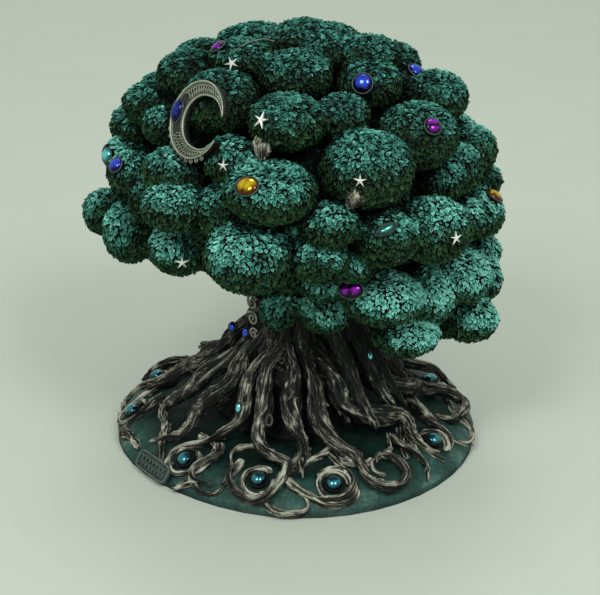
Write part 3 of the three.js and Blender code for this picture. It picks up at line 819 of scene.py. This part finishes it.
def set_leaf(name):
    """The long stone that sits in a pointed leaf-shaped plate."""
    centre, axes = spheroid(name)
    axes[0] = faced_out(axes[0], centre)
    t = np.linspace(-1, 1, 31)
    outline = np.column_stack([np.concatenate([t, t[-2:0:-1]]),
                               np.concatenate([1 - t ** 2, t[-2:0:-1] ** 2 - 1])])
    levels = ((1, -0.9, 0.3), (1, 0.25, 0.5), (0.9, 0.5, 0.6), (0.82, 0.3, 0.45),
              (0.45, 0.42, 0.5), (0.05, 0.5, 0.5))
    rings = [centre + outline * scale @ [1.25 * axes[2], 1.1 * axes[1]] + lift * axes[0]
             for scale, lift, _ in levels]
    wear_and_shading = np.repeat([level[2] for level in levels], len(outline))
    single(name + "_plate", skin(rings, centre - 0.9 * axes[0], centre + 0.5 * axes[0],
                                 np.cross(axes[2], axes[1]) @ axes[0] < 0),
           np.concatenate([wear_and_shading, [0.0, 0.5]]), PLINTH, [name])
    stone = axes * [[0.55], [0.34], [0.6]]
    single(name + "_stone", dome(centre + 0.45 * axes[0], stone), 0.9, GEM_PAINTS["teal"],
           key="glow")


def make_stones():
    for name in PEARLS:
        set_stone(name, GEM_PAINTS["pearl"], BARK, 0.4, -0.3)
    for name in GEMS:
        colour = next((c for c in GEM_PAINTS if c in name), "blue")
        if "leaf" in name:
            set_leaf(name)
        else:
            set_stone(name, GEM_PAINTS[colour], PLAQUE, 0.32, 0.35)


def star(name, centre, out, tip, thick, replaces=()):
    """A five-pointed star with slender rays, each raised along its middle."""
    ray = np.arange(10) % 2 == 0
    spokes = around(np.arange(10) * math.pi / 5) * np.where(ray, 1.0, 0.27)[:, None]
    outline = centre + spokes @ np.array([tip, np.cross(out, tip)])
    verts, quads, caps = skin([outline - out * thick / 2, outline + out * thick * 0.05],
                              centre - out * thick / 2, centre + out * thick * 0.75)
    ridge = np.concatenate([np.full(10, 0.2), np.where(ray, 0.95, 0.5), [0.2, 1.0]])
    build(name, verts, [quads, caps], SILVER, replaces, False, ridge=ridge)


def make_stars():
    for name in STARS:
        verts, _ = welded(name)
        centre, _, _, out = plate(name)
        height = (verts - centre) @ out
        flat = verts - centre - np.outer(height, out)
        tip = 0.9 * flat[np.linalg.norm(flat, axis=1).argmax()]
        star(name + "_charm", centre, out, tip, np.ptp(height), [name])
    out = unit(np.array([-0.25, -0.75, 0.61]))
    tip = 2.9 * unit(np.cross(out, [0.9, 0.1, 0.42]))
    star("small_star", np.array([-24.2, -22.5, 169.2]), out, tip, 1.0)


def circle_fit(points):
    """Centre and radius of the circle nearest to some points in a plane."""
    a = np.column_stack([2 * points, np.ones(len(points))])
    x, y, c = np.linalg.lstsq(a, (points ** 2).sum(1), rcond=None)[0]
    return np.array([x, y]), math.sqrt(c + x * x + y * y)


MOON_SIZE = 0.94    # against the CAD moon


def make_moon():
    """The crescent: a dark dished body, two bright rims, scrolls and graded beads."""
    verts, _ = welded("crescent_moon")
    middle, _, _, out = plate("crescent_moon")
    gem, _ = spheroid("moon_gem")
    right = middle - gem
    right = unit(right - out * (right @ out))
    up = np.cross(out, right)
    flat = np.column_stack([(verts - middle) @ right, (verts - middle) @ up])
    centre, radius = circle_fit(flat)
    for _ in range(12):
        far = np.linalg.norm(flat - centre, axis=1)
        centre, radius = circle_fit(flat[far > np.quantile(far, 0.55)])
    radius *= MOON_SIZE
    centre = centre + (0.6, -0.3)
    depth = np.ptp((verts - middle) @ out)
    face = ((verts - middle) @ out).max()
    inner, shift, mouth = 0.69 * radius, 0.168 * radius, 0.33

    def place(xy, lift):
        return middle + (xy + centre) @ np.array([right, up]) + (face + lift) * out

    m = 121
    t = np.linspace(0, 1, m)
    turn = mouth + (2 * math.pi - 2 * mouth) * t
    outer_xy = radius * around(turn)
    inner_xy = inner * around(1.45 * mouth + (2 * math.pi - 2.9 * mouth) * t) + [shift, 0]
    half = (outer_xy + inner_xy) / 2
    taper = 0.04 + 0.96 * ease(np.minimum(t, 1 - t), 0, 0.2)[:, None] ** 0.8
    outer_xy = half + (outer_xy - half) * taper
    inner_xy = half + (inner_xy - half) * taper
    gap = np.linalg.norm(outer_xy - inner_xy, axis=1)
    slim = np.sin(np.linspace(0.2, math.pi - 0.2, m)) ** 0.5

    def across(share, lift):
        return place(outer_xy * (1 - share) + inner_xy * share, lift)

    parts = Parts()
    steps = [(0, -depth), (0, -0.5), (0.1, -0.2), (0.2, -0.6), (0.8, -0.6), (0.9, -0.2),
             (1, -0.5), (1, -depth)]
    rows = np.vstack([across(share, lift) for share, lift in steps])
    n = len(steps)
    quads = ring_faces(n, m, closed=True).reshape(n, m, 4)[:, :-1, ::-1].reshape(-1, 4)
    ends = [np.arange(n)[::-1] * m, np.arange(n) * m + m - 1]
    caps = np.vstack([[e[0], e[i], e[i + 1]] for e in ends for i in range(1, n - 1)])
    parts.add(rows, quads, caps, 0.1)
    for share, lift, girth, value in ((0.0, -0.2, 0.40, 0.9), (1.0, -0.2, 0.40, 0.9),
                                      (0.14, -0.3, 0.17, 0.7), (0.86, -0.3, 0.17, 0.7)):
        parts.tube(across(share, lift), girth * slim, 10 if girth > 0.2 else 8, value=value)
    # Two strands plaited between the rims, clear of the stone, then beads towards the horns.
    length = lengths(half)
    for first, last in ((16, 47), (74, 105)):
        at = np.linspace(length[first], length[last], 170)
        for phase in (0, math.pi):
            wave = 0.5 + 0.27 * np.sin(at * 2.3 + phase)
            weave = 0.2 * np.cos(at * 2.3 + phase)
            edges = [np.column_stack([np.interp(at, length, column) for column in xy.T])
                     for xy in (outer_xy, inner_xy)]
            path = edges[0] * (1 - wave[:, None]) + edges[1] * wave[:, None]
            parts.tube(place(path, -0.3) + np.outer(weave, out), 0.2, 8, value=0.75)
    for i in list(range(9, 16, 2)) + list(range(106, 113, 2)):
        bead = dome(place(half[i], -0.35), np.array([out, right, up]) * gap[i] * 0.24, 8, 12)
        parts.add(*bead, value=0.85)
    # Scrolls that stand out from the lower left edge.
    for i in range(70, 108, 4):
        a = np.linspace(0, 3.0 * math.pi, 36)
        curl = (1.1 - a / (3.6 * math.pi))[:, None] * around(a + turn[i] + math.pi)
        parts.tube(place(outer_xy[i] * (1 + 0.95 / radius) + curl, -0.9), 0.2, 8, value=0.7)
    parts.build("crescent_moon_filigree", PEWTER, ["crescent_moon"])


def spiral(parts, centre, out, size, turns, flip, girth):
    """A raised scroll on a surface that faces out."""
    side, up = upright(out)
    a = np.linspace(0, turns * 2 * math.pi, int(26 * turns))
    r = size * (1 - 0.85 * a / a[-1])
    points = (centre + (r[:, None] * around(a + 0.6)) @ np.array([side * flip, up])
              + np.outer(0.25 * (1 - r / size), out))
    parts.tube(points, girth * (0.6 + 0.4 * r / size), 10, value=0.75)


def small_stone(name, colour, centre, out, half_width, half_length):
    """A little stone without a CAD solid of its own, standing upright on a surface."""
    out = unit(np.asarray(out, float))
    side, up = upright(out)
    height = 0.9
    axes = np.array([out * height, side * half_width, up * half_length])
    stone = dome(np.asarray(centre), axes, 10, 24)
    # Painted highlight, paler towards the top of the dome.
    single(name, stone, 1.1 * np.clip((stone[0] - centre) @ out / height, 0, 1),
           GEM_PAINTS[colour], key="glow")
    ring = centre + 1.08 * oval(0, axes[1], axes[2], 32)
    single(name + "_bezel", ring_tube(ring, 0.3), 0.3, BARK)


def carved_leaf(parts, root, tip, out, half_width, lobes):
    """A ribbed leaf of bark, flat against what it grows from."""
    root, tip, out = (np.asarray(v, float) for v in (root, tip, out))
    out = unit(out)
    t = np.linspace(0.02, 0.98, 40)[:, None]
    points = root + (tip - root) * t + out * 0.9 * np.sin(math.pi * t)
    widths = half_width * np.sin(math.pi * t[:, 0] ** 0.75) ** 0.8
    widths = widths * (1 - 0.16 * np.abs(np.sin(lobes * math.pi * t[:, 0])))
    parts.tube(points, widths, 40, bark_relief(lobes, 0.9, 14))
    verts = parts.verts[-1]
    parts.value[-1] = parts.value[-1] + 0.5
    parts.verts[-1] = verts - np.outer((verts - (root + tip) / 2) @ out * 0.62, out)


def finished_bark():
    """A search tree over the trunk and roots as they are finished."""
    verts, faces = [], []
    for ob in sorted(bpy.data.objects, key=lambda o: o.name):
        if ob.type == "MESH" and ob.data.materials and ob.data.materials[0] == BARK:
            start = len(verts)
            verts += [v.co / MM for v in ob.data.vertices]
            faces += [[start + i for i in p.vertices] for p in ob.data.polygons]
    return BVHTree.FromPolygons(verts, faces)


# Stones on the trunk and roots: name, colour, centre, facing, half width and half length.
SMALL_STONES = [
    ("trunk_blue_stone", "blue", (-20.4, -9.4, 49.9), (-0.35, -0.8, 0.3), 1.2, 2.2),
    ("trunk_blue_stone_rear", "blue", (-26.2, -1.6, 48.8), (-0.3, -0.8, 0.5), 1.5, 1.8),
    ("trunk_teal_stone", "teal", (-23.0, -33.9, 27.6), (-0.2, -0.85, 0.45), 1.1, 2.1),
    ("root_teal_stone", "teal", (30.3, -21.1, 44.7), (0.4, -0.8, 0.4), 1.1, 1.7),
]

# Knot holes: bearing, height above the floor, half width and half height.
KNOTS = [(-33, 30, 1.3, 2.3), (-15, 42, 1.0, 1.3), (-3.4, 33.7, 1.2, 2.1), (-16, 24, 1.3, 2.3),
         (125, 38, 1.2, 2.0), (-120, 40, 1.1, 1.9)]


def make_carving():
    """Scrolls, knot holes, little stones and bark leaves on the trunk and in the crown."""
    parts = Parts()
    out = polar(-48, 1, 0)
    wall = [polar(-60, 16.6, z) for z in (46, 52, 58, 64, 70)]
    points, sizes, _ = resample(wall, [1.6, 3.6, 3.6, 3.6, 1.6], 0.7)
    parts.tube(points, sizes, 40, bark_relief(3.3))
    spiral(parts, polar(-59, 20.4, 63.9), out, 3.4, 1.7, 1, 0.6)
    spiral(parts, polar(-59, 20.4, 56.8), out, 3.2, 1.6, -1, 0.55)
    spiral(parts, polar(-55, 20.8, 50.6), out, 2.5, 1.4, 1, 0.5)
    solid = finished_bark()
    for bearing, z, wide, high in KNOTS:
        spot, normal, *_ = solid.ray_cast(Vector(polar(bearing, 95, z)),
                                          Vector(polar(bearing, -1, 0)))
        spot, normal = np.array(spot), np.array(normal)
        side, up = upright(normal)
        ring = oval(spot + normal * 0.5, side * wide, up * high, 32)
        parts.add(*ring_tube(ring, 0.5), value=0.42)
        # The hole is a low dome painted near-black, as painted shade.
        hollow = np.array([normal * 0.5, side * wide, up * high])
        parts.add(*dome(spot, hollow, 8, 20), value=-0.9)
    carved_leaf(parts, (-12.3, -48, 149.5), (-12.3, -53, 140.5), (-0.2, -0.9, 0.3), 3.6, 3)
    carved_leaf(parts, (26, -63, 134.5), (19, -66, 127), (0.2, -0.9, 0.2), 3.9, 3)
    parts.build("carving", BARK)
    for name, colour, centre, out, half_width, half_length in SMALL_STONES:
        small_stone(name, colour, centre, out, half_width, half_length)
    wire, _, _ = resample([(-24, -16, 171.5), (-18, -12, 174.2), (-12, -8, 174.4),
                           (-8, -6, 172.8)], [1] * 4, 0.4)
    single("silver_curve", tube(wire, 0.2, 10)[:3], 0.7, PEWTER)


def make_plaque():
    """The small plate on the rim: raised border and a plain interlaced cord."""
    verts, _ = welded("rim_plaque")
    centre, along, across, out = plate("rim_plaque")
    reach = (verts - centre) @ out
    centre = centre + out * (reach.max() + reach.min()) / 2
    length, height, depth = np.ptp((verts - centre) @ np.array([along, across, out]).T, 0) / 2
    corners = around(circle(64))
    corners = np.sign(corners) * np.abs(corners) ** 0.35 @ [length * along, height * across]

    def loop(scale, lift):
        return centre + corners * scale + out * lift

    parts = Parts()
    rings = [loop(1, -depth), loop(1, depth * 0.5), loop(0.97, depth * 0.8)]
    parts.add(*skin(rings, centre - out * depth, centre + out * depth * 0.8,
                    np.cross(along, across) @ out < 0), value=0.2)
    parts.add(*ring_tube(loop(0.94, depth * 0.75), 0.45, 8), value=0.6)
    s = np.linspace(-0.8, 0.8, 90)
    for phase in (0, math.pi):
        wave = np.sin(s * 4.5 * math.pi + phase)
        weave = 0.3 * np.cos(s * 4.5 * math.pi + phase)
        path = (centre + np.outer(s * length, along) + np.outer(0.52 * height * wave, across)
                + np.outer(depth * 0.8 + 0.25 + weave, out))
        parts.tube(path, 0.36, 8, value=0.5)
    parts.build("rim_plaque_knot", PLAQUE, ["rim_plaque"])


# ---- foliage

VOXEL = 1.25    # mm between the vertices of a bough


def rounded(name):
    """A bough's surface at even spacing: vertices, faces and normals in mm."""
    verts, tris = welded(name)
    mesh = bpy.data.meshes.new("work")
    mesh.from_pydata((verts * MM).tolist(), [], tris.tolist())
    work = put_in_scene("work", mesh)
    remesh = work.modifiers.new("remesh", "REMESH")
    remesh.mode = "VOXEL"
    remesh.voxel_size = VOXEL * MM
    soften = work.modifiers.new("soften", "SMOOTH")
    soften.factor = 0.5
    soften.iterations = 8
    graph = bpy.context.evaluated_depsgraph_get()
    done = bpy.data.meshes.new_from_object(work.evaluated_get(graph))
    co, normals = read(done.vertices, "co") / MM, read(done.vertices, "normal")
    quads = np.array([list(p.vertices) for p in done.polygons])
    bpy.data.objects.remove(work)
    bpy.data.meshes.remove(mesh)
    bpy.data.meshes.remove(done)
    return co, quads, normals


# Directions round a normal, and how far a leaf looks along them for what shades it.
HEMISPHERE = np.array([[0, 0, 1.0]] + [
    [wide * math.cos(a), wide * math.sin(a), high]
    for wide, high, turns in ((0.62, 0.78, (0.3, 2.4, 4.5)), (0.87, 0.5, (1.3, 2.6, 3.9, 5.1, 6.2)))
    for a in turns])
LOOK = 20.0


def openness(points, normals, everything):
    """How much of the outside each point sees, 0 to 1."""
    out = np.empty(len(points))
    for i, (p, n) in enumerate(zip(points, normals)):
        side = sideways(n)
        basis = np.array([side, np.cross(n, side), n])
        seen = 0.0
        start = Vector(p + n * 0.9)
        for ray in HEMISPHERE @ basis:
            hit = everything.ray_cast(start, Vector(ray), LOOK)
            seen += 1.0 if hit[0] is None else (hit[3] / LOOK) ** 1.5
        out[i] = seen / len(HEMISPHERE)
    return out


def scattered(verts, quads, normals):
    """Three random points on each face, with their normals."""
    u, v = rng.uniform(size=(2, len(quads), 3, 1))
    weights = [(1 - u) * (1 - v), u * (1 - v), u * v, (1 - u) * v]
    points, out = (sum(w * rows[quads[:, None, k]] for k, w in enumerate(weights)).reshape(-1, 3)
                   for rows in (verts, normals))
    return points, unit(out, 1e-9)


def spaced(points, spacing):
    """A seeded choice of points that are no closer together than the spacing."""
    rows = points.tolist()
    cells, chosen = {}, []
    for i in rng.permutation(len(rows)):
        x, y, z = rows[i]
        cx, cy, cz = int(x // spacing), int(y // spacing), int(z // spacing)
        near = (rows[j] for dx in (-1, 0, 1) for dy in (-1, 0, 1) for dz in (-1, 0, 1)
                for j in cells.get((cx + dx, cy + dy, cz + dz), ()))
        if all((x - a) ** 2 + (y - b) ** 2 + (z - c) ** 2 > spacing ** 2 for a, b, c in near):
            cells.setdefault((cx, cy, cz), []).append(i)
            chosen.append(i)
    return np.array(sorted(chosen))


LEAF_SPACING, CORE_SPACING = 1.06, 1.4
BURIED = 0.08    # a leaf that sees less of the outside than this is left out
GEM_ROOM, STAR_ROOM = 1.4, 0.45    # mm kept free of leaves round the trim
# One leaf's corners: along, across and up from its middle. Then its faces, and how much
# paler than the leaf each corner is.
LEAF = np.array([[-1.0, 0, 0.05], [-0.4, 0.8, 0.12], [-0.4, -0.8, 0.12], [0.4, 0.66, 0.2],
                 [0.4, -0.66, 0.2], [1.15, 0, 0.15], [0.05, 0, -0.05], [0, 0, -0.4]])
LEAF_TOP = [[0, 2, 6], [2, 4, 6], [4, 5, 6], [5, 3, 6], [3, 1, 6], [1, 0, 6]]
LEAF_FACES = np.array(LEAF_TOP + [[b, a, 7] for a, b, _ in LEAF_TOP])
LEAF_TONE = np.array([-0.32, 0.10, 0.10, 0.16, 0.16, 0.22, -0.22, -0.4])


def make_bough(name, everything, trim, slot, spacing=LEAF_SPACING):
    """A bough and the leaves that grow on it, all but those that would hide the trim."""
    verts, quads, normals = rounded(name)
    roots, out = scattered(verts, quads, normals)
    keep = spaced(roots, spacing)
    keep = keep[[all(tree.find_nearest(Vector(roots[i]), gap)[0] is None
                     for tree, gap in trim) for i in keep]]
    seen = openness(roots[keep], out[keep], everything)
    keep, seen = keep[seen > BURIED], seen[seen > BURIED]
    roots, out = roots[keep], out[keep]
    count = len(roots)
    down = -UP[None] + 0.62 * rng.normal(size=(count, 3))
    along = unit(down - out * (down * out).sum(1)[:, None])
    lift = np.radians(rng.uniform(4, 38, count))[:, None]
    length = along * np.cos(lift) + out * np.sin(lift)
    face = out * np.cos(lift) - along * np.sin(lift)
    across = np.cross(face, length)
    tilt = rng.normal(size=(count, 1)) * 0.3
    across, face = across + face * tilt, face - across * tilt
    size = rng.uniform(0.8, 1.25, count)[:, None]
    base = roots + out * rng.uniform(0.2, 0.75, (count, 1))
    corners = (base[:, None] + LEAF[None, :, :1] * (length * size * 1.02)[:, None]
               + LEAF[None, :, 1:2] * (across * size * 0.84)[:, None]
               + LEAF[None, :, 2:] * (face * size)[:, None])
    # Painted highlight, along with the teal dry-brushing, on the sides that face up and out and,
    # lower down, to the front, less of it near the top of the crown. Painted shade, with the dark
    # wash, where a leaf sees little of the outside. Greener below, with slow drifts of tone.
    drift = 0.22 * field(roots, 24, 3) + 0.2 * field(roots, 8, 5)
    low = np.clip((104 - roots[:, 2]) / 26, 0, 1.25)
    aim = roots * (1, 1, 0) / np.linalg.norm(roots[:, :2], axis=1)[:, None]
    aim = UP + (0.8 * aim + (0, -0.4, 0)) * np.clip((120 - roots[:, 2:]) / 38, 0.2, 1.0)
    facing = (out * aim).sum(1) / np.linalg.norm(aim, axis=1)
    sky = ease(facing + drift, 0.08, 0.95)
    sky = sky * sky * (3 - 2 * sky)
    # Painted shade where a leaf sees little of the outside, with the dark wash there; less on the
    # low boughs.
    open_air = np.clip(seen * 2.1 - 0.8 + 0.8 * low, 0, 1)
    # Less painted highlight near the top of the crown.
    high = ease(roots[:, 2], 118, 42)
    tone = (0.15 + (0.20 + 0.60 * sky ** 1.4) * open_air + (0.02 * low - 0.40 * high) * sky
            + 0.11 * rng.normal(size=count))
    green = np.clip(1.05 - 1.7 * sky + 0.4 * high + 0.2 * rng.normal(size=count), 0, 1)
    leaf_faces = (np.arange(count)[:, None, None] * len(LEAF) + LEAF_FACES[None]).reshape(-1, 3)
    # The bough's own surface under the leaves is near-black: the dark wash with painted shade.
    build(name + "_foliage", np.vstack([verts, corners.reshape(-1, 3)]),
          [quads, leaf_faces + len(verts)], LEAVES, [name],
          np.arange(len(quads) + len(leaf_faces)) < len(quads), slot,
          tone=np.concatenate([np.zeros(len(verts)), (tone[:, None] + LEAF_TONE).ravel()]),
          green=np.concatenate([np.full(len(verts), 0.5), np.repeat(green, len(LEAF))]))


def make_foliage():
    everything = tree_of(BOUGHS + ["crown_core", "trunk", "crescent_moon"])
    set_in = [n for n in GEMS if n != "gem_purple_low"] + ["crescent_moon"]
    trim = [(tree_of(set_in), GEM_ROOM), (tree_of(STARS), STAR_ROOM)]
    for name in BOUGHS:
        make_bough(name, everything, trim, "leaves")
    make_bough("crown_core", everything, trim, "crown_shade", CORE_SPACING)


# ---- stage


def aimed(name, data, place, target):
    """A lamp or camera that looks at a target."""
    obj = put_in_scene(name, data)
    obj.location = place
    obj.rotation_euler = (Vector(target) - Vector(place)).to_track_quat("-Z", "Y").to_euler()
    return obj


# Lamps: name, place and size in m, power in W.
LAMPS = [("left", (-0.50, -0.85, 1.1), 0.42, 6.1), ("right", (0.50, -0.85, 1.1), 0.42, 6.1),
         ("back", (0.0, 0.70, 1.3), 0.5, 3.0)]
LAMP_TARGET = (0, 0, 0.09)
VIEW_FROM, VIEW_TO, LENS = (0.0, -0.7391, 0.3911), (0.002, 0, 0.0614), 117.3


def make_stage():
    mesh = bpy.data.meshes.new("floor")
    half = 3.0
    mesh.from_pydata([(-half, -half, 0), (half, -half, 0), (half, half, 0), (-half, half, 0)],
                     [], [(0, 1, 2, 3)])
    floor = put_in_scene("floor", mesh)
    n = Nodes("floor", Roughness=0.8)
    mesh.materials.append(n.finish(n.ramp(n.noise(60), (0.3, (0.55, 0.605, 0.52)),
                                          (0.7, (0.565, 0.62, 0.535)))))
    world = bpy.data.worlds.new("studio")
    world.use_nodes = True
    sky = world.node_tree.nodes["Background"].inputs
    sky["Color"].default_value, sky["Strength"].default_value = (0.80, 0.86, 0.80, 1), 0.63
    bpy.context.scene.world = world
    for name, place, size, power in LAMPS:
        light = bpy.data.lights.new(name, "AREA")
        light.shape = "SQUARE"
        light.size = size
        light.energy = power
        aimed(name, light, place, LAMP_TARGET)


def make_camera():
    camera = bpy.data.cameras.new("camera")
    camera.lens = LENS
    camera.sensor_width = 36
    bpy.context.scene.camera = aimed("camera", camera, VIEW_FROM, VIEW_TO)


make_camera()
make_stage()
make_plinth()
make_trunk()
make_roots()
make_links()
make_stones()
make_stars()
make_moon()
make_carving()
make_plaque()
make_foliage()

bpy.context.scene.view_settings.view_transform = "Standard"
